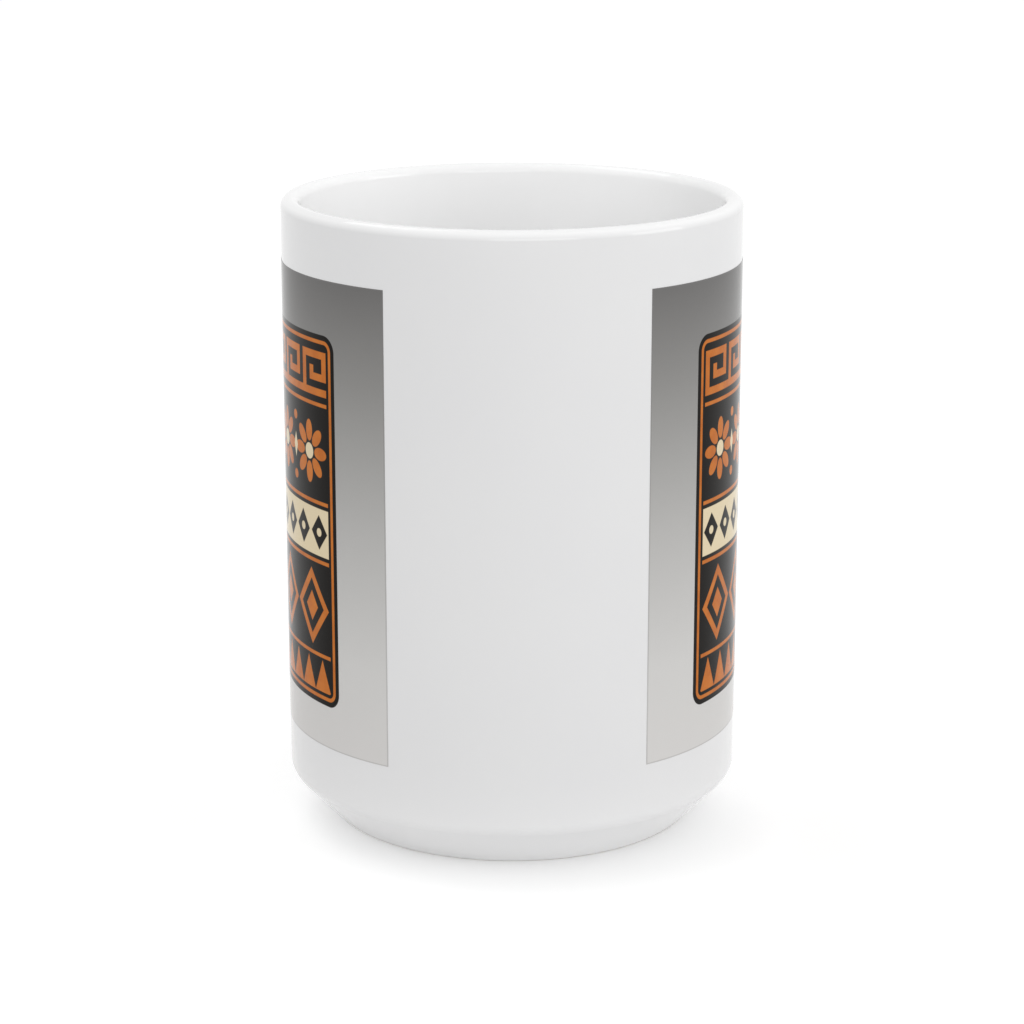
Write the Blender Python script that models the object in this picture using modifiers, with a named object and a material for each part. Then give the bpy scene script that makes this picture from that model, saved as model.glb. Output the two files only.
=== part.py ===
"""A straight-sided white ceramic mug with a chamfered base, a loop handle and two printed side panels.

Metres, +Z up. The mug stands on z = 0 with its bounding box centred on the origin, the handle points
along +Y and the plain front of the cup faces -Y. The cup, the handle, the two slip joints that lute the
handle to the cup and the two printed films are separate solids, as they are in the workshop.
"""

import math

import bmesh
import bpy
from mathutils import Vector

# Cup
CUP_DIAMETER = 0.0860
CUP_HEIGHT = 0.1187
LIP_WALL = 0.0035  # wall thickness at the lip
BASE_WALL = 0.0050  # wall thickness above the inner corner
FLOOR_THICKNESS = 0.0055  # over the recess
INNER_CORNER_RADIUS = 0.0120
CHAMFER_RISE = 0.0087  # from the table to where wall and chamfer would meet
CHAMFER_RUN = 0.0084  # from the wall in to the foot
SHOULDER_RADIUS = 0.0030
FOOT_EDGE_RADIUS = 0.0007
FOOT_LAND = 0.0045  # width of the flat ring that the mug stands on
RECESS_DEPTH = 0.0020
RECESS_RADIUS = 0.0015
CUP_SIDES = 96
INNER_CORNER_STEPS = 7
LIP_STEPS = 10
SHOULDER_STEPS = 5
FOOT_EDGE_STEPS = 3
RECESS_STEPS = 4

# Handle: a flattened oval strap, wider and thicker where it joins the cup
HANDLE_REACH = 0.0340  # from the wall out to the back of the loop
UPPER_ROOT_DROP = 0.0245  # from the rim down to the middle of the upper root
LOWER_ROOT_RISE = 0.0270  # from the table up to the middle of the lower root
CROWN_DROP = 0.0300  # from the upper root down to the outermost point of the loop
LOOP_FULLNESS = 0.64  # 0.55 draws quarter ellipses, more draws a squarer loop
STRAP_WIDTH = 0.0142
STRAP_THICKNESS = 0.0090
STRAP_SQUARENESS = 2.4  # 2 is an ellipse, more is squarer
ROOT_FLARE = 1.28  # size of the strap at its roots against its middle
STRAP_SIDES = 24
LOOP_STEPS = 20

# Slip joints: the clay that holds the handle on, squeezed out into a small fillet
SLIP_THICKNESS = 0.0012
SLIP_FILLET = 0.0014  # how far the slip spreads past the root
SEAT_GAP = 0.0003  # between pieces that are fired together

# Printed panels
PRINT_TOP_MARGIN = 0.01135  # from the rim
PRINT_BOTTOM_MARGIN = 0.01915  # from the table
PRINT_WIDTH = 0.0660  # round the wall
PRINT_FRONT_GAP = 0.0499  # bare wall between the prints, round the front
PRINT_FILM = 0.0002
PRINT_STEPS = 22

# Finishes
GLAZE_WHITE = (0.88, 0.88, 0.875)
PRINT_GREY = (0.42, 0.41, 0.405)
GLAZE_ROUGHNESS = 0.12
PRINT_ROUGHNESS = 0.14

MERGE_DISTANCE = 0.00001
SMOOTH_ANGLE = math.radians(35)

CUP_RADIUS = CUP_DIAMETER / 2
CUP_AXIS_Y = -HANDLE_REACH / 2
FLOOR_TOP = RECESS_DEPTH + FLOOR_THICKNESS
SLIP_INNER_RADIUS = CUP_RADIUS + SEAT_GAP
SLIP_OUTER_RADIUS = SLIP_INNER_RADIUS + SLIP_THICKNESS
HANDLE_SEAT_RADIUS = SLIP_OUTER_RADIUS + SEAT_GAP
UPPER_ROOT_Z = CUP_HEIGHT - UPPER_ROOT_DROP
LOWER_ROOT_Z = LOWER_ROOT_RISE


def clear_scene():
    """Start from an empty scene."""
    for old in list(bpy.data.objects):
        bpy.data.objects.remove(old, do_unlink=True)


def new_collection(name):
    """A collection linked to the scene."""
    collection = bpy.data.collections.new(name)
    bpy.context.scene.collection.children.link(collection)
    return collection


def finish(name, color, roughness):
    """A Principled material in the piece's own colour."""
    material = bpy.data.materials.new(name)
    material.use_nodes = True
    shader = material.node_tree.nodes["Principled BSDF"]
    shader.inputs["Base Color"].default_value = (*color, 1.0)
    shader.inputs["Roughness"].default_value = roughness
    shader.inputs["Metallic"].default_value = 0.0
    return material


def add_object(name, data, collection, material=None):
    """An object on the cup's axis, with its material."""
    piece = bpy.data.objects.new(name, data)
    piece.location = (0, CUP_AXIS_Y, 0)
    collection.objects.link(piece)
    if material:
        data.materials.append(material)
    return piece


def hide_helper(helper):
    """A cutter or guide shows as wire and is left out of the model."""
    helper.hide_render = True
    helper.display_type = "WIRE"


def smooth(mesh):
    """Round surfaces shade smooth, and true edges stay sharp."""
    mesh.shade_smooth()
    mesh.set_sharp_from_angle(angle=SMOOTH_ANGLE)


def arc(center_r, center_z, radius, start, end, steps):
    """Points of an arc in the r-z plane, angles in degrees from +r towards +z."""
    points = []
    for step in range(steps + 1):
        angle = math.radians(start + (end - start) * step / steps)
        points.append((center_r + radius * math.cos(angle), center_z + radius * math.sin(angle)))
    return points


def profile_mesh(name, points):
    """An open chain of edges in the XZ plane."""
    mesh = bpy.data.meshes.new(name)
    shape = bmesh.new()
    chain = [shape.verts.new((r, 0, z)) for r, z in points]
    for first, second in zip(chain, chain[1:]):
        shape.edges.new((first, second))
    shape.to_mesh(mesh)
    shape.free()
    return mesh


def add_screw(piece, angle, steps, closed):
    """Turn a profile about the cup's axis."""
    screw = piece.modifiers.new("turn", "SCREW")
    screw.axis = "Z"
    screw.angle = angle
    screw.steps = steps
    screw.render_steps = steps
    screw.use_smooth_shade = True
    screw.use_merge_vertices = closed
    screw.merge_threshold = MERGE_DISTANCE
    return screw


def cup_profile():
    """Half section of the cup, from the middle of the floor over the lip to the middle of the underside."""
    inner_wall = CUP_RADIUS - BASE_WALL
    lip_radius = LIP_WALL / 2
    chamfer = math.atan2(CHAMFER_RUN, CHAMFER_RISE)
    foot_radius = CUP_RADIUS - CHAMFER_RUN
    # The shoulder is an arc tangent to the wall and to the chamfer.
    shoulder_z = CHAMFER_RISE + SHOULDER_RADIUS * math.tan(chamfer / 2)
    # The foot edge is an arc tangent to the chamfer and to the flat land.
    foot_turn = math.pi / 2 - chamfer
    land_outer = foot_radius - FOOT_EDGE_RADIUS * math.tan(foot_turn / 2)
    land_inner = land_outer - FOOT_LAND
    corner_r = inner_wall - INNER_CORNER_RADIUS
    corner_z = FLOOR_TOP + INNER_CORNER_RADIUS
    recess_r = land_inner - RECESS_RADIUS
    recess_z = RECESS_DEPTH - RECESS_RADIUS
    slope = -math.degrees(chamfer)
    points = [(0, FLOOR_TOP)]
    points += arc(corner_r, corner_z, INNER_CORNER_RADIUS, -90, 0, INNER_CORNER_STEPS)
    points += arc(CUP_RADIUS - lip_radius, CUP_HEIGHT - lip_radius, lip_radius, 180, 0, LIP_STEPS)
    points += arc(CUP_RADIUS - SHOULDER_RADIUS, shoulder_z, SHOULDER_RADIUS, 0, slope, SHOULDER_STEPS)
    points += arc(land_outer, FOOT_EDGE_RADIUS, FOOT_EDGE_RADIUS, slope, -90, FOOT_EDGE_STEPS)
    points.append((land_inner, 0))
    points += arc(recess_r, recess_z, RECESS_RADIUS, 0, 90, RECESS_STEPS)
    points.append((0, RECESS_DEPTH))
    return points


def make_cup(collection):
    """The cast cup: lip, tapering wall, floor, chamfer and foot ring in one turned body."""
    mesh = profile_mesh("cup", cup_profile())
    cup = add_object("cup", mesh, collection, finish("cup", GLAZE_WHITE, GLAZE_ROUGHNESS))
    add_screw(cup, math.tau, CUP_SIDES, True)
    return cup


def strap_outline(width, thickness):
    """Points of the strap's flattened oval section."""
    points = []
    power = 2 / STRAP_SQUARENESS
    for side in range(STRAP_SIDES):
        angle = math.tau * side / STRAP_SIDES
        across, through = math.cos(angle), math.sin(angle)
        points.append((
            math.copysign(abs(across) ** power, across) * width / 2,
            math.copysign(abs(through) ** power, through) * thickness / 2,
        ))
    return points


def loop_stations():
    """Centre line of the handle: y, z, size and the two tangents at the roots and the outermost point."""
    outermost = CUP_RADIUS + HANDLE_REACH - STRAP_THICKNESS / 2
    buried = CUP_RADIUS - LIP_WALL / 2
    crown_z = UPPER_ROOT_Z - CROWN_DROP
    arm = LOOP_FULLNESS * (outermost - buried)
    rise = LOOP_FULLNESS * CROWN_DROP
    fall = LOOP_FULLNESS * (crown_z - LOWER_ROOT_Z)
    return [
        (buried, UPPER_ROOT_Z, ROOT_FLARE, (-arm, 0), (arm, 0)),
        (outermost, crown_z, 1.0, (0, rise), (0, -fall)),
        (buried, LOWER_ROOT_Z, ROOT_FLARE, (arm, 0), (-arm, 0)),
    ]


def section_guide(collection):
    """The strap's section as a closed flat curve."""
    data = bpy.data.curves.new("strap_section", "CURVE")
    data.dimensions = "2D"
    spline = data.splines.new("POLY")
    outline = strap_outline(STRAP_WIDTH, STRAP_THICKNESS)
    spline.points.add(len(outline) - 1)
    for point, (across, through) in zip(spline.points, outline):
        point.co = (across, through, 0, 1)
    spline.use_cyclic_u = True
    guide = add_object("strap_section", data, collection)
    hide_helper(guide)
    return guide


def swept_strap(section, collection):
    """The strap swept along the loop, with closed ends inside the wall."""
    data = bpy.data.curves.new("handle_sweep", "CURVE")
    data.dimensions = "3D"
    data.twist_mode = "MINIMUM"
    data.resolution_u = LOOP_STEPS
    data.bevel_mode = "OBJECT"
    data.bevel_object = section
    data.use_fill_caps = True
    stations = loop_stations()
    spline = data.splines.new("BEZIER")
    spline.bezier_points.add(len(stations) - 1)
    for point, (y, z, size, tangent_in, tangent_out) in zip(spline.bezier_points, stations):
        point.co = (0, y, z)
        point.handle_left = (0, y + tangent_in[0], z + tangent_in[1])
        point.handle_right = (0, y + tangent_out[0], z + tangent_out[1])
        point.radius = size
    sweep = add_object("handle_sweep", data, collection)
    graph = bpy.context.evaluated_depsgraph_get()
    mesh = bpy.data.meshes.new_from_object(sweep.evaluated_get(graph))
    bpy.data.objects.remove(sweep, do_unlink=True)
    shape = bmesh.new()
    shape.from_mesh(mesh)
    bmesh.ops.remove_doubles(shape, verts=shape.verts, dist=MERGE_DISTANCE)
    bmesh.ops.recalc_face_normals(shape, faces=shape.faces)
    shape.to_mesh(mesh)
    shape.free()
    return mesh


def wall_cutter(collection):
    """A cylinder on the cup's axis that trims the handle to its seats on the slip."""
    mesh = bpy.data.meshes.new("handle_seat_cutter")
    shape = bmesh.new()
    bmesh.ops.create_cone(
        shape, cap_ends=True, segments=CUP_SIDES, radius1=HANDLE_SEAT_RADIUS,
        radius2=HANDLE_SEAT_RADIUS, depth=2 * CUP_HEIGHT,
    )
    shape.to_mesh(mesh)
    shape.free()
    cutter = add_object("handle_seat_cutter", mesh, collection)
    hide_helper(cutter)
    return cutter


def add_boolean(piece, cutter, operation):
    """Cut or trim a piece with a helper."""
    boolean = piece.modifiers.new(operation.lower(), "BOOLEAN")
    boolean.operation = operation
    boolean.object = cutter
    boolean.solver = "EXACT"


def make_handle(collection, cutters):
    """The loop handle, its two ends hollowed to follow the cup's wall."""
    mesh = swept_strap(section_guide(cutters), cutters)
    mesh.name = "handle"
    handle = add_object("handle", mesh, collection, finish("handle", GLAZE_WHITE, GLAZE_ROUGHNESS))
    add_boolean(handle, wall_cutter(cutters), "DIFFERENCE")
    smooth(mesh)
    return handle


def slip_shell(collection):
    """The curved layer round the wall that both slip joints lie in."""
    edge = [
        (SLIP_INNER_RADIUS, 0),
        (SLIP_OUTER_RADIUS, 0),
        (SLIP_OUTER_RADIUS, CUP_HEIGHT),
        (SLIP_INNER_RADIUS, CUP_HEIGHT),
        (SLIP_INNER_RADIUS, 0),
    ]
    mesh = profile_mesh("slip_shell", list(reversed(edge)))
    shell = add_object("slip_shell", mesh, collection)
    add_screw(shell, math.tau, CUP_SIDES, True)
    weld = shell.modifiers.new("weld", "WELD")
    weld.merge_threshold = MERGE_DISTANCE
    hide_helper(shell)
    return shell


def slip_ring(shape, y, root_z):
    """The slip's outline in the plane at y: the handle's root, spread wider towards the wall."""
    width = STRAP_WIDTH * ROOT_FLARE
    thickness = STRAP_THICKNESS * ROOT_FLARE
    ring = []
    for across, up in strap_outline(width, thickness):
        seat_y = math.sqrt(SLIP_OUTER_RADIUS ** 2 - across ** 2)
        spread = SLIP_FILLET * (seat_y - y) / SLIP_THICKNESS
        outward = Vector((across / width ** 2, up / thickness ** 2)).normalized() * spread
        ring.append(shape.verts.new((across + outward.x, y, root_z + up + outward.y)))
    return ring


def make_slip_joint(name, root_z, shell, collection):
    """One pad of slip: as large as the handle's root, spreading into a fillet on the wall."""
    mesh = bpy.data.meshes.new(name)
    shape = bmesh.new()
    edges = []
    for y in (CUP_RADIUS - LIP_WALL / 2, SLIP_OUTER_RADIUS + SLIP_FILLET):
        ring = slip_ring(shape, y, root_z)
        edges += [shape.edges.new((ring[side - 1], ring[side])) for side in range(len(ring))]
    bmesh.ops.bridge_loops(shape, edges=edges)
    bmesh.ops.holes_fill(shape, edges=shape.edges, sides=0)
    bmesh.ops.recalc_face_normals(shape, faces=shape.faces)
    shape.to_mesh(mesh)
    shape.free()
    joint = add_object(name, mesh, collection, finish(name, GLAZE_WHITE, GLAZE_ROUGHNESS))
    add_boolean(joint, shell, "INTERSECT")
    smooth(mesh)
    return joint


def make_print(name, start_angle, collection):
    """One printed film, curved round the wall from start_angle."""
    radius = CUP_RADIUS + SEAT_GAP
    top, bottom = CUP_HEIGHT - PRINT_TOP_MARGIN, PRINT_BOTTOM_MARGIN
    mesh = profile_mesh(name, [(radius, top), (radius, bottom)])
    film = add_object(name, mesh, collection, finish(name, PRINT_GREY, PRINT_ROUGHNESS))
    film.rotation_euler = (0, 0, start_angle)
    add_screw(film, PRINT_WIDTH / CUP_RADIUS, PRINT_STEPS, False)
    thicken = film.modifiers.new("film", "SOLIDIFY")
    thicken.thickness = PRINT_FILM
    thicken.offset = 1
    return film


def make_prints(collection):
    """Two films, set either side of the plain front of the cup."""
    front = -math.pi / 2
    half_gap = PRINT_FRONT_GAP / 2 / CUP_RADIUS
    spread = PRINT_WIDTH / CUP_RADIUS
    make_print("right_print", front + half_gap, collection)
    make_print("left_print", front - half_gap - spread, collection)


def main():
    clear_scene()
    mug = new_collection("mug")
    cutters = new_collection("cutters")
    make_cup(mug)
    make_handle(mug, cutters)
    shell = slip_shell(cutters)
    make_slip_joint("upper_slip_joint", UPPER_ROOT_Z, shell, mug)
    make_slip_joint("lower_slip_joint", LOWER_ROOT_Z, shell, mug)
    make_prints(mug)


main()
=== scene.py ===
# %% [markdown]
# # A tall white mug with printed sides
# The real mug is a cast cup, a loop handle stuck on with slip and two printed panels, all under one clear
# gloss. Their solids come packed at their real size. This lesson loads those solids as a fixed frame, models
# a finer skin over each of them, gives every skin a finish, and lights the mug for a studio picture.

# %% Load the frame
import math

import bmesh
import bpy
from mathutils import Matrix, Vector


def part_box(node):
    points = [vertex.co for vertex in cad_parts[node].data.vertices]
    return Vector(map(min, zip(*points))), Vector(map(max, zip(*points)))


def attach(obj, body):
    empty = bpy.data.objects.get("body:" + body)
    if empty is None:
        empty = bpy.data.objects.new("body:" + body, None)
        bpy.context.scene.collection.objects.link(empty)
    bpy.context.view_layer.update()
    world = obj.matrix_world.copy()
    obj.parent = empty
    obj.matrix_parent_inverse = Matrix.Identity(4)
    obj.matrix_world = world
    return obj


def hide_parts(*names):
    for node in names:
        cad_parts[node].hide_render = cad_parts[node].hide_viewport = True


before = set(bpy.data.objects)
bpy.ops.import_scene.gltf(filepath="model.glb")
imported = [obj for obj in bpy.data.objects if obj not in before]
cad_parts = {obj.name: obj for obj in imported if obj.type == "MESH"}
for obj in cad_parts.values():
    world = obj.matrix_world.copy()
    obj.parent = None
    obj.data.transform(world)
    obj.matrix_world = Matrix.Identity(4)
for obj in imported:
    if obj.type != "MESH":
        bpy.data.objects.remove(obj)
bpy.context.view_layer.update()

print("nodes:", sorted(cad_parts))

# %% [markdown]
# ## Sizes
# Every size is either read from the frame or written once as a real length. The cup's node gives its radius,
# height and axis, the slip joints give the heights where the handle lands, and the handle's node its reach.
# The skins stay a hair inside those sizes, so that the dressed mug is never larger than its solids.

# %% Measure the frame
MM = 0.001
HAIR = 0.01 * MM


def middle(node):
    """The middle of a node's box."""
    low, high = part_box(node)
    return (low + high) / 2


cup_low, cup_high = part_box("cup")
CUP_RADIUS = (cup_high.x - cup_low.x) / 2 - HAIR
CUP_HEIGHT = cup_high.z - HAIR
CUP_AXIS = Vector((middle("cup").x, middle("cup").y, 0))
HANDLE_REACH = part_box("handle")[1].y - cup_high.y - HAIR
print(f"cup {2 * CUP_RADIUS / MM:.1f} x {CUP_HEIGHT / MM:.1f} mm, handle reach {HANDLE_REACH / MM:.1f} mm")

# %% [markdown]
# ## Camera
# The picture looks at the plain front of the cup from a little above, with the handle straight behind. A long
# lens keeps the wall's two sides nearly parallel. The mug is turned a degree and a half to the right, which
# is the same as a camera that stands that much to the left.

# %% Camera
CAMERA_DISTANCE = 532.4 * MM
CAMERA_HEIGHT = 199.8 * MM
CAMERA_PITCH = math.radians(14.963)
CAMERA_SWING = math.radians(-1.585)
CAMERA_LENS = 101.3
CAMERA_NEAR = 10 * MM

camera = bpy.data.objects.new("camera", bpy.data.cameras.new("camera"))
bpy.context.scene.collection.objects.link(camera)
camera.location = CUP_AXIS + Vector((
    CAMERA_DISTANCE * math.sin(CAMERA_SWING),
    -CAMERA_DISTANCE * math.cos(CAMERA_SWING),
    CAMERA_HEIGHT,
))
camera.rotation_euler = (math.pi / 2 - CAMERA_PITCH, 0, CAMERA_SWING)
camera.data.lens = CAMERA_LENS
camera.data.clip_start = CAMERA_NEAR
bpy.context.scene.camera = camera
bpy.context.scene.view_settings.view_transform = "Standard"
print("camera at", [round(value, 4) for value in camera.location])

# %% [markdown]
# ## Turning a mesh into a piece
# Each skin is shaped in a bmesh. This helper makes it an object at the origin, shades it smooth and keeps its
# real edges sharp. The place of a piece is in its mesh, so that patterns on Object coordinates stay put.

# %% Piece helper
SHARP_ANGLE = math.radians(40)


def piece_from(shape, name):
    """An object made from a bmesh, smooth on its round faces."""
    mesh = bpy.data.meshes.new(name)
    for face in shape.faces:
        face.smooth = True
    shape.to_mesh(mesh)
    shape.free()
    mesh.set_sharp_from_angle(angle=SHARP_ANGLE)
    piece = bpy.data.objects.new(name, mesh)
    bpy.context.scene.collection.objects.link(piece)
    print(f"{name}: {len(mesh.polygons)} faces")
    return piece


# %% [markdown]
# ## The cup
# A cup is a turned shape, so only half of its section has to be drawn. A vertex is the pen: extruding it
# draws a straight line, and spinning it about a centre draws a true arc. The finished line is then spun about
# the cup's axis. A lathe profile could also be typed in as a list of points, but arcs drawn by an operator
# keep their radius as a real size. Each straight line has a short step at both ends, which keeps the round
# shading of the arcs from creeping along it.

# %% Pen helpers
LINE_SHARES = (0.03, 0.97, 1.0)


def line_to(shape, tip, radius, height):
    """Extrude the pen's vertex in a straight line to a new radius and height."""
    start = tip.co.copy()
    end = CUP_AXIS + Vector((radius, 0, height))
    for share in LINE_SHARES:
        tip = bmesh.ops.extrude_vert_indiv(shape, verts=[tip])["verts"][0]
        tip.co = start.lerp(end, share)
    return tip


def arc_about(shape, tip, radius, height, degrees, steps):
    """Spin the pen's vertex about a centre, anticlockwise for positive degrees."""
    turned = bmesh.ops.spin(
        shape, geom=[tip], cent=CUP_AXIS + Vector((radius, 0, height)), axis=(0, -1, 0),
        angle=math.radians(degrees), steps=steps,
    )
    return [item for item in turned["geom_last"] if isinstance(item, bmesh.types.BMVert)][0]


# %% Sizes of the cup
LIP_WALL = 3.5 * MM
BASE_WALL = 5.0 * MM
FLOOR_TOP = 7.5 * MM
INNER_CORNER = 12.0 * MM
CHAMFER_RISE = 8.7 * MM
CHAMFER_RUN = 8.4 * MM
SHOULDER = 3.0 * MM
FOOT_EDGE = 0.2 * MM
FOOT_LAND = 4.5 * MM
RECESS_DEPTH = 2.0 * MM
RECESS_CORNER = 1.5 * MM
INNER_CORNER_STEPS = 20
LIP_STEPS = 28
SHOULDER_STEPS = 12
FOOT_EDGE_STEPS = 8
RECESS_STEPS = 8
print(f"wall {LIP_WALL / MM:.1f} mm at the lip and {BASE_WALL / MM:.1f} mm at the base")


# %% Section of the cup
def draw_section(shape):
    """Draw the half section from the middle of the floor, over the lip, to the middle of the underside."""
    lip = LIP_WALL / 2
    slope = math.atan2(CHAMFER_RUN, CHAMFER_RISE)
    shoulder_z = CHAMFER_RISE + SHOULDER * math.tan(slope / 2)
    land_outer = CUP_RADIUS - CHAMFER_RUN - FOOT_EDGE * math.tan((math.pi / 2 - slope) / 2)
    land_inner = land_outer - FOOT_LAND
    inner_wall = CUP_RADIUS - BASE_WALL
    foot_turn = 90 - math.degrees(slope)

    tip = shape.verts.new(CUP_AXIS + Vector((0, 0, FLOOR_TOP)))
    tip = line_to(shape, tip, inner_wall - INNER_CORNER, FLOOR_TOP)
    tip = arc_about(
        shape, tip, inner_wall - INNER_CORNER, FLOOR_TOP + INNER_CORNER, 90, INNER_CORNER_STEPS,
    )
    tip = line_to(shape, tip, CUP_RADIUS - LIP_WALL, CUP_HEIGHT - lip)
    tip = arc_about(shape, tip, CUP_RADIUS - lip, CUP_HEIGHT - lip, -180, LIP_STEPS)
    tip = line_to(shape, tip, CUP_RADIUS, shoulder_z)
    tip = arc_about(shape, tip, CUP_RADIUS - SHOULDER, shoulder_z, -math.degrees(slope), SHOULDER_STEPS)
    tip = line_to(
        shape, tip,
        land_outer + FOOT_EDGE * math.cos(slope), FOOT_EDGE * (1 - math.sin(slope)),
    )
    tip = arc_about(shape, tip, land_outer, FOOT_EDGE, -foot_turn, FOOT_EDGE_STEPS)
    tip = line_to(shape, tip, land_inner, 0)
    tip = line_to(shape, tip, land_inner, RECESS_DEPTH - RECESS_CORNER)
    tip = arc_about(
        shape, tip, land_inner - RECESS_CORNER, RECESS_DEPTH - RECESS_CORNER, 90, RECESS_STEPS,
    )
    line_to(shape, tip, 0, RECESS_DEPTH)


# %% Spin the cup
CUP_STEPS = 240
MERGE_DISTANCE = 0.001 * MM


def make_cup():
    """Turn the section about the axis into a closed cup."""
    shape = bmesh.new()
    draw_section(shape)
    bmesh.ops.spin(
        shape, geom=shape.verts[:] + shape.edges[:], cent=CUP_AXIS, axis=(0, 0, 1),
        angle=math.tau, steps=CUP_STEPS, use_merge=True,
    )
    bmesh.ops.remove_doubles(shape, verts=shape.verts, dist=MERGE_DISTANCE)
    bmesh.ops.recalc_face_normals(shape, faces=shape.faces)
    return piece_from(shape, "glazed_cup")


cup = make_cup()

# %% [markdown]
# ## The handle
# The handle was cast by itself and stuck on with slip before firing. Under the glaze the joint is one smooth
# fillet, so this skin covers the handle and both slip joints. It is a ring that is extruded from station to
# station along two Bezier arms, from the upper root to the crown of the loop and on to the lower root. A
# bevelled curve would be quicker, but its ends couldn't spread into a fillet on a round wall.

# %% Sizes of the handle
STRAP_WIDTH = 14.2 * MM
STRAP_THICKNESS = 9.0 * MM
STRAP_SQUARENESS = 2.4
ROOT_FLARE = 1.28
CROWN_DROP = 30.0 * MM
LOOP_FULLNESS = 0.64
ROOT_FILLET = 3.6 * MM
ROOT_DIP = 0.045 * MM
ROOT_SKIRT = 0.9 * MM
FILLET_STEPS = 12
ARM_STEPS = 36
UPPER_ROOT = middle("upper_slip_joint").z
LOWER_ROOT = middle("lower_slip_joint").z
print(f"handle roots at {UPPER_ROOT / MM:.1f} and {LOWER_ROOT / MM:.1f} mm")


# %% Path of the handle
def bezier(points, share):
    """The point and direction at a share of a Bezier curve, by blending its control points in pairs."""
    while len(points) > 2:
        points = [first.lerp(second, share) for first, second in zip(points, points[1:])]
    return points[0].lerp(points[1], share), (points[1] - points[0]).normalized()


def arm_stations(root_z, crown_z):
    """Stations from just inside the wall to the crown: place, direction, size and depth from the wall."""
    start = Vector((0, CUP_RADIUS - LIP_WALL / 2, root_z))
    crown = Vector((0, CUP_RADIUS + HANDLE_REACH - STRAP_THICKNESS / 2, crown_z))
    arm = LOOP_FULLNESS * (crown.y - start.y)
    rise = LOOP_FULLNESS * (root_z - crown_z)
    curve = [start, start + Vector((0, arm, 0)), crown + Vector((0, 0, rise)), crown]
    depths = [-ROOT_DIP]
    depths += [
        ROOT_FILLET * (1 - math.cos(math.pi / 2 * step / FILLET_STEPS)) for step in range(FILLET_STEPS + 1)
    ]
    # A Bezier curve with four points leaves its start at three times the length of its first arm.
    shares = [(CUP_RADIUS - start.y + depth) / (3 * arm) for depth in depths]
    shares += [
        shares[-1] + (1 - shares[-1]) * step / ARM_STEPS for step in range(1, ARM_STEPS + 1)
    ]
    stations = []
    for share in shares:
        place, direction = bezier(curve, share)
        size = ROOT_FLARE + (1 - ROOT_FLARE) * share
        stations.append((place, direction, size, place.y - CUP_RADIUS))
    return stations


# %% Ring of the handle
RING_SIDES = 56


def squared(value):
    """Push a sine or cosine outwards, so that the ring is a flattened oval."""
    return math.copysign(abs(value) ** (2 / STRAP_SQUARENESS), value)


def first_ring(shape):
    """The strap's section, a circle pressed to a flattened oval."""
    ring = bmesh.ops.create_circle(shape, segments=RING_SIDES, radius=1)["verts"]
    for vert in ring:
        vert.co.x = squared(vert.co.x) * STRAP_WIDTH / 2
        vert.co.y = squared(vert.co.y) * STRAP_THICKNESS / 2
    return ring


def station_matrix(place, direction, size):
    """Where a ring stands: its width along X, square to the path."""
    through = direction.cross(Vector((1, 0, 0)))
    turn = Matrix((Vector((1, 0, 0)), through, direction)).transposed().to_4x4()
    return Matrix.Translation(place) @ turn @ Matrix.Scale(size, 4)


# %% Sweep the handle
WALL_BLEND = 9.0 * MM


def sweep(shape, stations):
    """Extrude the ring along the stations, and keep each ring's depth from the wall on its vertices."""
    depth_layer = shape.verts.layers.float.new("depth")
    ring = first_ring(shape)
    edges = shape.edges[:]
    first_edges = edges
    last_matrix = Matrix.Identity(4)
    for number, (place, direction, size, depth) in enumerate(stations):
        if number:
            grown = bmesh.ops.extrude_edge_only(shape, edges=edges)["geom"]
            ring = [item for item in grown if isinstance(item, bmesh.types.BMVert)]
            inside = set(ring)
            edges = [
                item for item in grown
                if isinstance(item, bmesh.types.BMEdge) and inside.issuperset(item.verts)
            ]
        matrix = station_matrix(place, direction, size)
        bmesh.ops.transform(shape, matrix=matrix @ last_matrix.inverted(), verts=ring)
        last_matrix = matrix
        for vert in ring:
            vert[depth_layer] = depth
    for rim in (first_edges, edges):
        bmesh.ops.contextual_create(shape, geom=rim)
    return depth_layer


def seat_on_wall(shape, depth_layer):
    """Spread both roots into fillets that follow the round wall, with a skirt that dips just under it."""
    for vert in shape.verts:
        depth = vert[depth_layer]
        if depth < ROOT_FILLET:
            root_z = min((UPPER_ROOT, LOWER_ROOT), key=lambda height: abs(height - vert.co.z))
            outward = Vector((vert.co.x / STRAP_WIDTH ** 2, 0, (vert.co.z - root_z) / STRAP_THICKNESS ** 2))
            short = ROOT_FILLET - max(depth, 0)
            spread = ROOT_FILLET - math.sqrt(ROOT_FILLET ** 2 - short ** 2)
            spread += ROOT_SKIRT * max(-depth, 0) / ROOT_DIP
            vert.co += outward.normalized() * spread
        if depth < WALL_BLEND:
            fade = 1 - max(depth, 0) / WALL_BLEND
            fall = CUP_RADIUS - math.sqrt(CUP_RADIUS ** 2 - vert.co.x ** 2)
            eased = fade * fade * (3 - 2 * fade)
            vert.co.y -= fall * eased


# %% Make the handle
def make_handle():
    """The loop from the upper root to the lower one, as one closed skin."""
    crown_z = UPPER_ROOT - CROWN_DROP
    upper = arm_stations(UPPER_ROOT, crown_z)
    lower = arm_stations(LOWER_ROOT, crown_z)
    back = [(place, -direction, size, depth) for place, direction, size, depth in reversed(lower[:-1])]
    shape = bmesh.new()
    seat_on_wall(shape, sweep(shape, upper + back))
    bmesh.ops.translate(shape, vec=CUP_AXIS, verts=shape.verts)
    bmesh.ops.recalc_face_normals(shape, faces=shape.faces)
    return piece_from(shape, "glazed_handle")


handle = make_handle()

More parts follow.
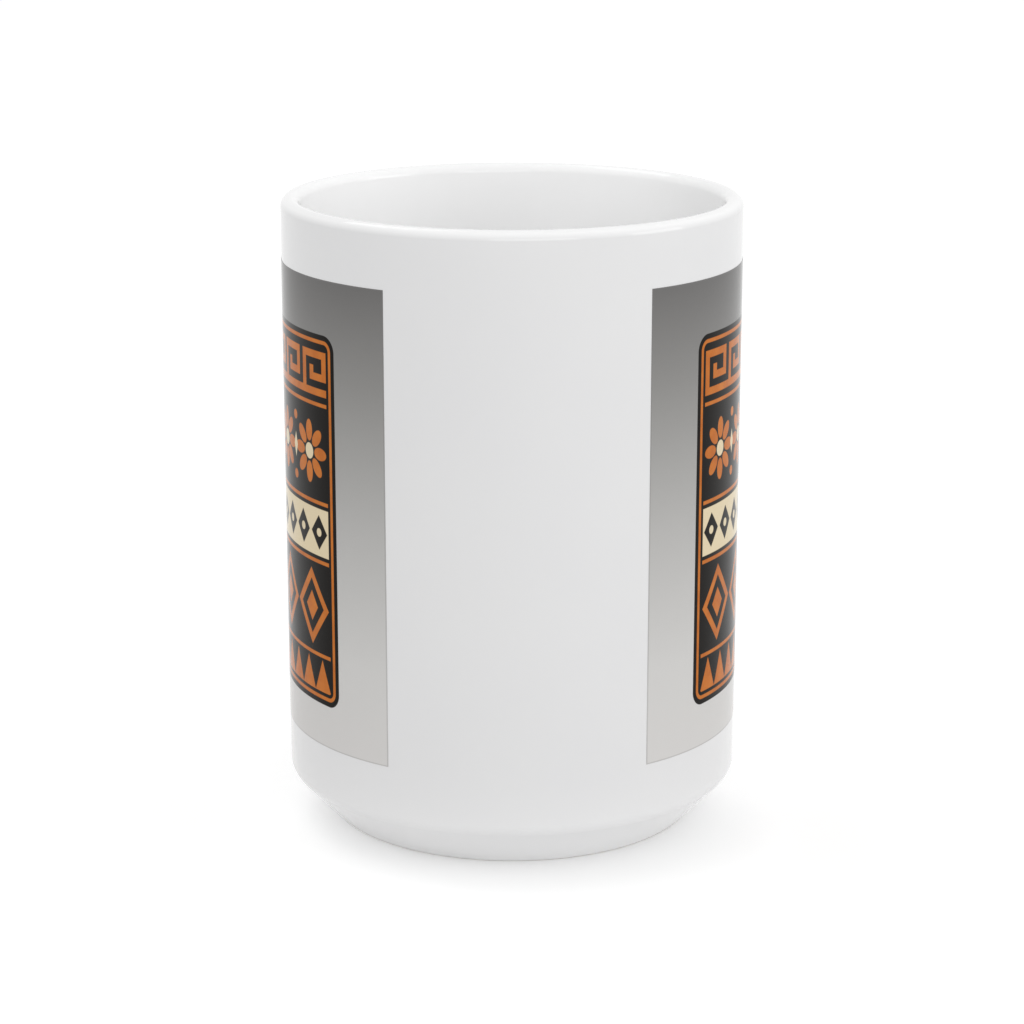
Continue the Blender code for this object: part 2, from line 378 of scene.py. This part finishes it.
# %% [markdown]
# ## The printed panels
# Each panel is a film of ink on the side of the wall, about as thin as a hair. It is one vertical edge, spun
# part of the way round the cup and given a little thickness. A UV map unrolls it flat, so that a pattern can
# be drawn on it in millimetres as it was printed.

# %% Film helpers
FILM_PROUD = 0.05 * MM
FILM_THICKNESS = 0.08 * MM
FILM_STEPS = 72
FILM_MAP = "unrolled"


def turn_of(point):
    """How far a point lies round the cup from its front, positive to the right."""
    return math.atan2(point.x - CUP_AXIS.x, CUP_AXIS.y - point.y)


def make_film(name, node):
    """A thin skin over one printed node, unrolled to a unit square."""
    low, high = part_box(node)
    turns = [turn_of(vert.co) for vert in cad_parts[node].data.vertices]
    start, end = min(turns), max(turns)
    radius = CUP_RADIUS + FILM_PROUD
    shape = bmesh.new()
    foot = shape.verts.new(CUP_AXIS + Vector((radius * math.sin(start), -radius * math.cos(start), low.z)))
    top = bmesh.ops.extrude_vert_indiv(shape, verts=[foot])["verts"][0]
    top.co.z = high.z
    bmesh.ops.spin(
        shape, geom=shape.verts[:] + shape.edges[:], cent=CUP_AXIS, axis=(0, 0, 1),
        angle=end - start, steps=FILM_STEPS,
    )
    unrolled = shape.loops.layers.uv.new(FILM_MAP)
    for face in shape.faces:
        for loop in face.loops:
            across = (turn_of(loop.vert.co) - start) / (end - start)
            loop[unrolled].uv = (across, (loop.vert.co.z - low.z) / (high.z - low.z))
    for face in shape.faces:
        face.normal_update()
        if face.normal.dot(face.calc_center_median() - CUP_AXIS) < 0:
            face.normal_flip()
    bmesh.ops.solidify(shape, geom=shape.faces[:], thickness=FILM_THICKNESS)
    film = piece_from(shape, name)
    return film, radius * (end - start) / MM, (high.z - low.z) / MM


# %% Make the films
left_film, PRINT_WIDTH, PRINT_HEIGHT = make_film("left_panel", "left_print")
right_film, _, _ = make_film("right_panel", "right_print")
print(f"each panel unrolls to {PRINT_WIDTH:.1f} x {PRINT_HEIGHT:.1f} mm")

# %% [markdown]
# ## Writing shaders as sums
# A node tree is easier to read as arithmetic. This class holds one output of a node. Adding or multiplying
# two of them places a Math node and returns its output, so a mask can be turned round as `1 - mask`. For the
# distances that draw shapes, `&` is where two shapes meet and `|` is both of them together. One method places
# any other node: its settings first, then the values or links of its sockets.

# %% Shader class


class Field:
    """A value or colour that changes over a surface."""

    def __init__(self, tree, socket):
        self.tree = tree
        self.socket = socket

    def node(self, kind, settings=None, sockets=None, output=0):
        """Any node: its settings are set first, then its sockets take values or links."""
        made = self.tree.nodes.new(kind)
        for name, value in (settings or {}).items():
            if name == "stops":
                set_stops(made.color_ramp, value)
            else:
                setattr(made, name, value)
        for name, value in (sockets or {}).items():
            if isinstance(value, Field):
                self.tree.links.new(value.socket, made.inputs[name])
            else:
                made.inputs[name].default_value = value
        return Field(self.tree, made.outputs[output])

    def math(self, operation, *values, clamp=False):
        """A Math node with this field first."""
        settings = {"operation": operation, "use_clamp": clamp}
        return self.node("ShaderNodeMath", settings, dict(enumerate((self, *values))))

    def or_more(self, other):
        """The larger of two masks."""
        return self.math("MAXIMUM", other)

    def over(self, below, above):
        """This field as a mask: the colour above where it is 1, the colour below where it is 0."""
        # A Mix node has sockets for every kind of data. These are its factor and its two colours.
        return self.node("ShaderNodeMix", {"data_type": "RGBA"}, {0: self, 6: below, 7: above}, output=2)

    def __add__(self, other):
        return self.math("ADD", other)

    def __sub__(self, other):
        return self.math("SUBTRACT", other)

    def __rsub__(self, other):
        return self.math("MULTIPLY_ADD", -1, other)

    def __mul__(self, other):
        return self.math("MULTIPLY", other)

    def __truediv__(self, other):
        return self.math("DIVIDE", other)

    def __abs__(self):
        return self.math("ABSOLUTE")

    def __and__(self, other):
        """Where two shapes meet, for distances that are below zero inside a shape."""
        return self.math("MAXIMUM", other)

    def __or__(self, other):
        """Two shapes together, for distances that are below zero inside a shape."""
        return self.math("MINIMUM", other)

    __radd__ = __add__
    __rmul__ = __mul__


def set_stops(ramp, stops):
    """Give a colour ramp its stops, each a place and a colour."""
    while len(ramp.elements) < len(stops):
        ramp.elements.new(1)
    for element, (place, color) in zip(ramp.elements, stops):
        element.position = place
        element.color = color


# %% Material helpers


def new_material(name):
    """An empty node material: its tree and a Principled shader on the output."""
    material = bpy.data.materials.new(name)
    material.use_nodes = True
    tree = material.node_tree
    shader = tree.nodes["Principled BSDF"]
    return material, tree, shader


def link(field, shader, socket):
    """Feed a field to one socket of a shader."""
    field.tree.links.new(field.socket, shader.inputs[socket])


def linear(level):
    """A screen's level, 0 to 1, as the light that it stands for."""
    if level <= 0.04045:
        return level / 12.92
    return ((level + 0.055) / 1.055) ** 2.4


def paint(red, green, blue):
    """A colour written as on a screen, 0 to 255, as the linear colour that a shader takes."""
    return (*[linear(value / 255) for value in (red, green, blue)], 1)


# %% [markdown]
# ## White glaze
# The cup and handle share a clear gloss over a white body. It isn't one flat white. The straight wall has a
# clear coat that takes the print. The inside, the lip and the lower wall are painted a lighter white, which
# is
# painted light: it brightens the inside of the cup, lays a painted highlight along the lip and lifts the
# shade on the wall and chamfer near the floor. The glaze pools a little in some places, its gloss changes
# slightly, and its skin has the faint ripple of something that once flowed. The ring that the mug stands on
# was wiped dry before firing, so there the clay shows unglazed, matt and warmer. Two materials on one mesh
# would leave hard borders, so masks on Object coordinates blend them.

# %% Mask and noise helpers
NOISE_ROUGHNESS = 0.5
NOISE_MEAN = 0.5


def soft_step(value, start, end):
    """0 where a value is at its start, 1 at its end, straight between them."""
    return value.math("MULTIPLY_ADD", 1 / (end - start), -start / (end - start), clamp=True)


def from_axis(place, axis, scale=(1, 1, 0)):
    """How far a place is from an upright axis, with each direction scaled."""
    flat = place.node("ShaderNodeVectorMath", {"operation": "SUBTRACT"}, {0: place, 1: axis})
    flat = flat.node("ShaderNodeVectorMath", {"operation": "MULTIPLY"}, {0: flat, 1: scale})
    return flat.node("ShaderNodeVectorMath", {"operation": "LENGTH"}, {0: flat}, output=1)


def soft_noise(place, size, detail):
    """Noise from 0 to 1, with features of a real size."""
    sockets = {"Vector": place, "Scale": 1 / size, "Detail": detail, "Roughness": NOISE_ROUGHNESS}
    return place.node("ShaderNodeTexNoise", {}, sockets)


# %% Colours and skin of the glaze
COAT_THIN = paint(228, 228, 228)
COAT_POOLED = paint(225, 225, 226)
# Painted light: the lighter white inside the cup, on the lip and near the foot.
PAINTED_LIGHT_WHITE = paint(253, 253, 253)
CLAY_DARK = paint(212, 203, 189)
CLAY_LIGHT = paint(228, 221, 209)
GLAZE_ROUGHNESS = 0.09
GLOSS_CHANGE = 0.05
CLAY_ROUGHNESS = 0.8
POOL_SIZE = 22 * MM
POOL_DETAIL = 2
RIPPLE_SIZE = 7 * MM
RIPPLE_DETAIL = 1
RIPPLE_HEIGHT = 0.012 * MM
RIPPLE_STRENGTH = 0.35
GRAIN_SIZE = 0.4 * MM
GRAIN_DETAIL = 3
GRAIN_SHARE = 0.4
print("glaze roughness", GLAZE_ROUGHNESS, "and bare clay", CLAY_ROUGHNESS)

# %% Where light is painted on the glaze
# These place the painted light: inside the cup, as a highlight along the lip, and as lifted shade on the
# lower wall and chamfer near the floor.
PAINTED_LIGHT_DEPTH_START = 0.3 * MM
PAINTED_LIGHT_DEPTH_FULL = 2.2 * MM
LIP_FADE_LOW = 1.7 * MM
LIP_FADE_HIGH = 0.5 * MM
INSIDE_START = 11 * MM
INSIDE_FULL = 12.1 * MM
BASE_FADE_TOP = 30 * MM
BASE_FADE_POWER = 3
BASE_SHADE_LIFT = 0.75
DRY_TOP = 0.06 * MM
DRY_FULL = 0.03 * MM


def painted_light_and_dry_masks(radius, height):
    """Where the glaze is painted a lighter white as painted light, and where the foot has no glaze."""
    off_wall = soft_step(radius, CUP_RADIUS - PAINTED_LIGHT_DEPTH_START, CUP_RADIUS - PAINTED_LIGHT_DEPTH_FULL)
    # Height and depth behind the outer wall add up to more in the cup than on the chamfer.
    in_cup = soft_step(height - (radius - CUP_RADIUS), INSIDE_START, INSIDE_FULL)
    # The lip is painted lighter towards its top, a painted highlight.
    lip_highlight = soft_step(height, CUP_HEIGHT - LIP_FADE_LOW, CUP_HEIGHT - LIP_FADE_HIGH)
    # The wall and chamfer are painted lighter towards the foot, which lifts the shade near the floor.
    lifted_base_shade = soft_step(height, BASE_FADE_TOP, 0).math("POWER", BASE_FADE_POWER)
    painted_light = (off_wall * in_cup).or_more(lip_highlight).or_more(BASE_SHADE_LIFT * lifted_base_shade)
    return painted_light, soft_step(height, DRY_TOP, DRY_FULL)


# %% White glaze
def white_glaze():
    """Clear gloss on white clay, coated on the wall, painted lighter inside, on the lip and near the foot as
    painted light, and dry on the foot.
    """
    material, tree, shader = new_material("white_glaze")
    place = Field(tree, tree.nodes.new("ShaderNodeTexCoord").outputs["Object"])
    radius = from_axis(place, CUP_AXIS)
    height = place.node("ShaderNodeSeparateXYZ", {}, {0: place}, output=2)
    painted_light, dry = painted_light_and_dry_masks(radius, height)
    pooled = soft_noise(place, POOL_SIZE, POOL_DETAIL)
    grain = soft_noise(place, GRAIN_SIZE, GRAIN_DETAIL)
    # The lighter white is painted light: it brightens the inside, paints a highlight on the lip and lifts the
    # shade near the foot.
    color = painted_light.over(pooled.over(COAT_THIN, COAT_POOLED), PAINTED_LIGHT_WHITE)
    link(dry.over(color, grain.over(CLAY_DARK, CLAY_LIGHT)), shader, "Base Color")
    gloss = GLAZE_ROUGHNESS + GLOSS_CHANGE * (pooled - NOISE_MEAN)
    link(gloss * (1 - dry) + CLAY_ROUGHNESS * dry, shader, "Roughness")
    ripple = soft_noise(place, RIPPLE_SIZE, RIPPLE_DETAIL)
    skin = ripple * (1 - dry) + GRAIN_SHARE * grain * dry
    sockets = {"Strength": RIPPLE_STRENGTH, "Distance": RIPPLE_HEIGHT, "Height": skin}
    link(place.node("ShaderNodeBump", {}, sockets), shader, "Normal")
    print(f"white glaze: {len(tree.nodes)} nodes")
    return material


glaze = white_glaze()
for piece in (cup, handle):
    piece.data.materials.append(glaze)

# %% [markdown]
# ## The printed design
# The panels carry a grey ground that lightens downwards, and on it a dark panel of old traditional ornament
# in terracotta and cream: a key meander, rosettes, a chain of lozenges, a net of diamonds and a row of rays.
# Each motif is a distance in millimetres, below zero inside the motif. The larger of two distances is where
# two shapes meet, and the smaller is both of them together, so a motif is a few sums.

# %% Distances
INK_EDGE = 0.12


def strip(value, low, high):
    """Distance to a strip between two values."""
    return abs(value - (low + high) / 2) - (high - low) / 2


def block(across, up, left, right, bottom, top):
    """Distance to a rectangle."""
    return strip(across, left, right) & strip(up, bottom, top)


def length(across, up):
    """Distance from the middle."""
    return (across * across + up * up).math("SQRT")


def rounded_block(across, up, half_width, bottom, top, corner):
    """Distance to a rectangle with round corners, centred across."""
    past_side = strip(across, corner - half_width, half_width - corner)
    past_end = strip(up, bottom + corner, top - corner)
    return length(past_side & 0, past_end & 0) + ((past_side & past_end) | 0) - corner


def oval(across, up, half_width, half_height):
    """Distance to an ellipse, near enough for ink."""
    return (length(across / half_width, up / half_height) - 1) * min(half_width, half_height)


def lozenge(across, up, half_width, half_height):
    """Distance to a diamond."""
    steep = half_width * half_height / math.hypot(half_width, half_height)
    return (abs(across) / half_width + abs(up) / half_height - 1) * steep


def repeat(value, period):
    """Fold a coordinate into copies centred on zero."""
    return (value + period / 2).math("FLOORED_MODULO", period) - period / 2


def ink(distance):
    """Coverage of the ink: 1 inside, 0 outside, with an edge as soft as print."""
    return soft_step(distance, INK_EDGE / 2, -INK_EDGE / 2)


# %% Motifs
# Each stroke of the key is its left, right, bottom and top in cells. The petals are written in shares of the
# flower's radius.
KEY_CELLS = ((0, 1, 0, 6), (0, 6, 5, 6), (5, 6, 2, 6), (2, 6, 2, 3), (2, 3, 2, 4))
KEY_LENGTH = 7
PETAL_MIDDLE = 0.66
PETAL_HALF_LENGTH = 0.34
PETAL_HALF_WIDTH = 0.2


def meander(across, up, cell):
    """A running key, six cells tall and seven long, on a base line."""
    along = across.math("FLOORED_MODULO", KEY_LENGTH * cell) / cell
    rise = up / cell
    key = strip(rise, 0, 1)
    for left, right, bottom, top in KEY_CELLS:
        key = key | block(along, rise, left, right, bottom, top)
    return key * cell


def rosette(across, up, radius, petals):
    """A flower: a ring of oval petals that point at its heart."""
    reach = length(across, up)
    turn = repeat(up.math("ARCTAN2", across), math.tau / petals)
    along = reach * turn.math("COSINE")
    aside = reach * turn.math("SINE")
    petal = along - PETAL_MIDDLE * radius
    return oval(petal, aside, PETAL_HALF_LENGTH * radius, PETAL_HALF_WIDTH * radius)


def rays(across, up, width, height):
    """A row of tall triangles that stand on zero."""
    fold = abs(repeat(across, width)) / (width / 2)
    return ((fold + up / height - 1) * (width / 2)) & (up * -1)


# %% Panel and its lines
# Millimetres from the middle of the print, as in the bands below.
PANEL_HALF_WIDTH = 21
PANEL_BOTTOM = -36
PANEL_TOP = 34
PANEL_CORNER = 3
BORDER_OUTER = 1.0
BORDER_INNER = 1.7
FIELD_INSET = 2.4
FIELD_HALF = PANEL_HALF_WIDTH - FIELD_INSET
LINE_HEIGHTS = (21.0, 2.6, -8.6, -26.6)
LINE_HALF = 0.35
print(f"dark panel {2 * PANEL_HALF_WIDTH} x {PANEL_TOP - PANEL_BOTTOM} mm")

# %% Terracotta bands
KEYS = 4
KEY_CELL = 2 * FIELD_HALF / (KEYS * KEY_LENGTH - 1)
KEY_BASE = 22.6
FLOWERS = 3
FLOWER_PITCH = 2 * FIELD_HALF / FLOWERS
FLOWER_HEIGHT = 11.8
FLOWER_RADIUS = 5.9
PETALS = 8
DOT_RISE = 5.6
DOT_RADIUS = 0.9
NET_HEIGHT = -17.6
NET_HALF_SIZE = (5.9, 7.4)
NET_LINE = 1.3
SEED_HALF_SIZE = (2.2, 2.9)
RAYS = 7
RAY_WIDTH = 2 * FIELD_HALF / RAYS
RAY_HEIGHT = 6.2
RAY_BASE = -33.6


def terracotta_bands(across, up):
    """Everything in the panel that is printed in terracotta."""
    folded = repeat(across, FLOWER_PITCH)
    between = abs(across) - FLOWER_PITCH / 2
    flower_up = up - FLOWER_HEIGHT
    net_up = up - NET_HEIGHT
    shape = meander(across + FIELD_HALF, up - KEY_BASE, KEY_CELL)
    shape = shape | rosette(folded, flower_up, FLOWER_RADIUS, PETALS)
    shape = shape | oval(between, abs(flower_up) - DOT_RISE, DOT_RADIUS, DOT_RADIUS)
    shape = shape | strip(lozenge(folded, net_up, *NET_HALF_SIZE), -NET_LINE, 0)
    shape = shape | lozenge(folded, net_up, *SEED_HALF_SIZE)
    shape = shape | rays(across, up - RAY_BASE, RAY_WIDTH, RAY_HEIGHT)
    for height in LINE_HEIGHTS:
        shape = shape | strip(up, height - LINE_HALF, height + LINE_HALF)
    return shape


# %% Cream bands
CREAM_BOTTOM = -7.5
CREAM_TOP = 1.5
CHAIN_LINKS = 6
CHAIN_PITCH = 2 * FIELD_HALF / CHAIN_LINKS
LINK_HALF_SIZE = (2.7, 3.3)
BEAD_RADIUS = 0.8
HEART_RADIUS = 1.5
SPARK_HALF_SIZE = (0.9, 2.4)


def cream_bands(across, up):
    """Everything in the panel that is printed in cream."""
    link_across = repeat(across + CHAIN_PITCH / 2, CHAIN_PITCH)
    link_up = up - (CREAM_BOTTOM + CREAM_TOP) / 2
    band = strip(up, CREAM_BOTTOM, CREAM_TOP) & (lozenge(link_across, link_up, *LINK_HALF_SIZE) * -1)
    band = band | oval(link_across, link_up, BEAD_RADIUS, BEAD_RADIUS)
    flower_up = up - FLOWER_HEIGHT
    heart = oval(repeat(across, FLOWER_PITCH), flower_up, HEART_RADIUS, HEART_RADIUS)
    spark = lozenge(abs(across) - FLOWER_PITCH / 2, flower_up, *SPARK_HALF_SIZE)
    return band | heart | spark


# %% Inks
GROUND_STOPS = (
    (0.00, paint(212, 210, 208)),
    (0.20, paint(207, 206, 204)),
    (0.48, paint(183, 182, 180)),
    (0.80, paint(142, 141, 139)),
    (1.00, paint(113, 112, 111)),
)
BLACK_INK = paint(17, 13, 9)
TERRACOTTA_LIGHT = paint(212, 128, 50)
TERRACOTTA_DARK = paint(172, 88, 30)
CREAM_INK = paint(224, 208, 174)
WEAR_SIZE = 3 * MM
WEAR_DETAIL = 4
FILM_ROUGHNESS = 0.1
FILM_GLOSS = 0.06
EDGE_LINE = 0.22
EDGE_GREY = paint(128, 126, 126)
EDGE_STRENGTH = 0.3


# %% Printed design
def printed_design():
    """Grey ground and ornamented panel, drawn in millimetres from the middle of the print."""
    material, tree, shader = new_material("printed_film")
    unrolled = tree.nodes.new("ShaderNodeUVMap")
    unrolled.uv_map = FILM_MAP
    flat = Field(tree, unrolled.outputs[0])
    share_across = flat.node("ShaderNodeSeparateXYZ", {}, {0: flat}, output=0)
    share_up = flat.node("ShaderNodeSeparateXYZ", {}, {0: flat}, output=1)
    across = (share_across - 0.5) * PRINT_WIDTH
    up = (share_up - 0.5) * PRINT_HEIGHT
    place = Field(tree, tree.nodes.new("ShaderNodeTexCoord").outputs["Object"])

    sheet = block(across, up, -PRINT_WIDTH / 2, PRINT_WIDTH / 2, -PRINT_HEIGHT / 2, PRINT_HEIGHT / 2)
    panel = rounded_block(across, up, PANEL_HALF_WIDTH, PANEL_BOTTOM, PANEL_TOP, PANEL_CORNER)
    field = panel + FIELD_INSET
    border = strip(panel, -BORDER_INNER, -BORDER_OUTER)
    terracotta = (terracotta_bands(across, up) & field) | border
    cream = cream_bands(across, up) & field

    wear = soft_noise(place, WEAR_SIZE, WEAR_DETAIL)
    ground = share_up.node("ShaderNodeValToRGB", {"stops": GROUND_STOPS}, {0: share_up})
    ground = (EDGE_STRENGTH * ink(-EDGE_LINE - sheet)).over(ground, EDGE_GREY)
    color = ink(panel).over(ground, BLACK_INK)
    color = ink(terracotta).over(color, wear.over(TERRACOTTA_DARK, TERRACOTTA_LIGHT))
    color = ink(cream).over(color, CREAM_INK)
    link(color, shader, "Base Color")
    link(FILM_ROUGHNESS + GLOSS_CHANGE * (wear - NOISE_MEAN), shader, "Roughness")
    shader.inputs["Specular IOR Level"].default_value = FILM_GLOSS
    print(f"printed film: {len(tree.nodes)} nodes")
    return material


film_ink = printed_design()
for film in (left_film, right_film):
    film.data.materials.append(film_ink)

# %% [markdown]
# ## Floor, world and lamps
# The mug stands on a plain white floor in a white studio. The world gives most of the light, evenly from all
# round. Softboxes at the front and right make those sides of the wall a little lighter, a third one behind
# lays the soft shadow round the foot, and three small snooted lamps shine into the cup, which would be dull
# without them. Rays that reach the camera or a mirror straight from the world see plain white. For them the
# floor is lifted to white too, though less in a patch under and in front of the mug, which paints a deeper
# shadow over the floor's own soft shadow.

# %% Rays that are seen


def seen_rays(tree):
    """1 for rays that are seen, by the camera or by way of a mirror or glass, and 0 for all others."""
    path = tree.nodes.new("ShaderNodeLightPath")
    seen = Field(tree, path.outputs["Is Camera Ray"])
    for name in ("Is Glossy Ray", "Is Transmission Ray"):
        seen = seen.or_more(Field(tree, path.outputs[name]))
    return seen


# %% Floor
FLOOR_SIZE = 12.0
FLOOR_DROP = 0.03 * MM
FLOOR_WHITE = (0.95, 0.95, 0.95, 1)
FLOOR_ROUGHNESS = 0.9
FLOOR_LIFT = 0.26
# The lift is lower in an ellipse under and in front of the mug, which paints a shadow on the floor over its
# own.
SHADOW_MIDDLE = CUP_AXIS + Vector((4 * MM, -17 * MM, 0))
SHADOW_SCALE = (0.76, 1, 0)
SHADOW_DEEP = 13.5 * MM
SHADOW_END = 35.5 * MM
SHADOW_LIFT = 0.12

shape = bmesh.new()
bmesh.ops.create_grid(shape, x_segments=1, y_segments=1, size=FLOOR_SIZE / 2)
bmesh.ops.translate(shape, vec=(0, 0, -FLOOR_DROP), verts=shape.verts)
floor = piece_from(shape, "floor")
floor_paint, floor_tree, floor_shader = new_material("floor_paint")
floor_shader.inputs["Base Color"].default_value = FLOOR_WHITE
floor_shader.inputs["Roughness"].default_value = FLOOR_ROUGHNESS
floor_shader.inputs["Specular IOR Level"].default_value = 0
floor_shader.inputs["Emission Strength"].default_value = FLOOR_LIFT
floor_place = Field(floor_tree, floor_tree.nodes.new("ShaderNodeTexCoord").outputs["Object"])
# Painted shadow: the lift falls from full at the ellipse's end to its lowest in the middle.
lift_with_painted_shadow = soft_step(from_axis(floor_place, SHADOW_MIDDLE, SHADOW_SCALE), SHADOW_DEEP, SHADOW_END)
lift_with_painted_shadow = SHADOW_LIFT + (1 - SHADOW_LIFT) * lift_with_painted_shadow
link(lift_with_painted_shadow * seen_rays(floor_tree), floor_shader, "Emission Color")
floor.data.materials.append(floor_paint)

# %% World
WORLD_LIGHT = 0.775

world = bpy.data.worlds.new("studio")
bpy.context.scene.world = world
world.use_nodes = True
sky = world.node_tree.nodes["Background"]
link(WORLD_LIGHT + (1 - WORLD_LIGHT) * seen_rays(world.node_tree), sky, "Color")
print("world light", WORLD_LIGHT)

# %% Lamp helpers
SNOOT_BLEND = 0.4
SNOOT_RADIUS = 12 * MM


def aim(name, lamp, place, target):
    """Hang a lamp at a place and turn it to face a target."""
    stand = bpy.data.objects.new(name, lamp)
    bpy.context.scene.collection.objects.link(stand)
    stand.location = place
    stand.rotation_euler = (target - place).to_track_quat("-Z", "Y").to_euler()
    print(f"{name}: {lamp.energy:.2f} W from {(target - place).length:.2f} m")
    return stand


def softbox(name, place, target, width, height, power):
    """A lamp with a wide white face."""
    lamp = bpy.data.lights.new(name, "AREA")
    lamp.shape = "RECTANGLE"
    lamp.size = width
    lamp.size_y = height
    lamp.energy = power
    aim(name, lamp, place, target)


def snoot(name, place, target, beam, power):
    """A small round lamp whose beam is narrowed to a width at its target, and which no mirror shows."""
    lamp = bpy.data.lights.new(name, "SPOT")
    lamp.spot_size = 2 * math.atan2(beam / 2, (target - place).length)
    lamp.spot_blend = SNOOT_BLEND
    lamp.shadow_soft_size = SNOOT_RADIUS
    lamp.energy = power
    aim(name, lamp, place, target).visible_glossy = False


# %% Softboxes
# Each has a name, a stand from the foot of the cup's axis, a width, a height and a power in watts.
SOFTBOXES = (
    ("front", (0.2, -1.25, 0.36), 1.0, 0.4, 2.05),
    ("right", (1.2, -0.35, 0.4), 0.7, 0.5, 1.9),
    ("back_left", (-0.45, 0.5, 1.1), 0.5, 0.5, 1.2),
)
MUG_MIDDLE = CUP_AXIS + Vector((0, 0, CUP_HEIGHT / 2))

for name, stand, width, height, power in SOFTBOXES:
    softbox(name, CUP_AXIS + Vector(stand), MUG_MIDDLE, width, height, power)

# %% Snoots
# Each has a name, a target from the foot of the cup's axis, a stand from that target, the width of its beam
# there and a power in watts.
SNOOTS = (
    ("mouth_left", (-28 * MM, 22 * MM, CUP_HEIGHT - 18 * MM), (0.7, -0.55, 0.62), 60 * MM, 3.6),
    ("mouth_right", (20 * MM, 33 * MM, CUP_HEIGHT - 20 * MM), (-0.35, -0.75, 0.55), 54 * MM, 4.3),
    ("well", (0, 0, 0), (0, 0, 1.4), 62 * MM, 22),
)

for name, target, stand, beam, power in SNOOTS:
    aimed_at = CUP_AXIS + Vector(target)
    snoot(name, aimed_at + Vector(stand), aimed_at, beam, power)

# %% [markdown]
# ## The pieces on the body
# Every skin rides on the mug's one body and stands for the solids that it covers, which are hidden. The looks
# must not make the mug larger.

# %% Ride and replace
for piece, slot, nodes in (
    (cup, "white_glaze", ("cup",)),
    (handle, "white_glaze", ("handle", "upper_slip_joint", "lower_slip_joint")),
    (left_film, "printed_film", ("left_print",)),
    (right_film, "printed_film", ("right_print",)),
):
    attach(piece, "root")
    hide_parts(*nodes)
    print(f"{piece.name} stands for {', '.join(nodes)}")
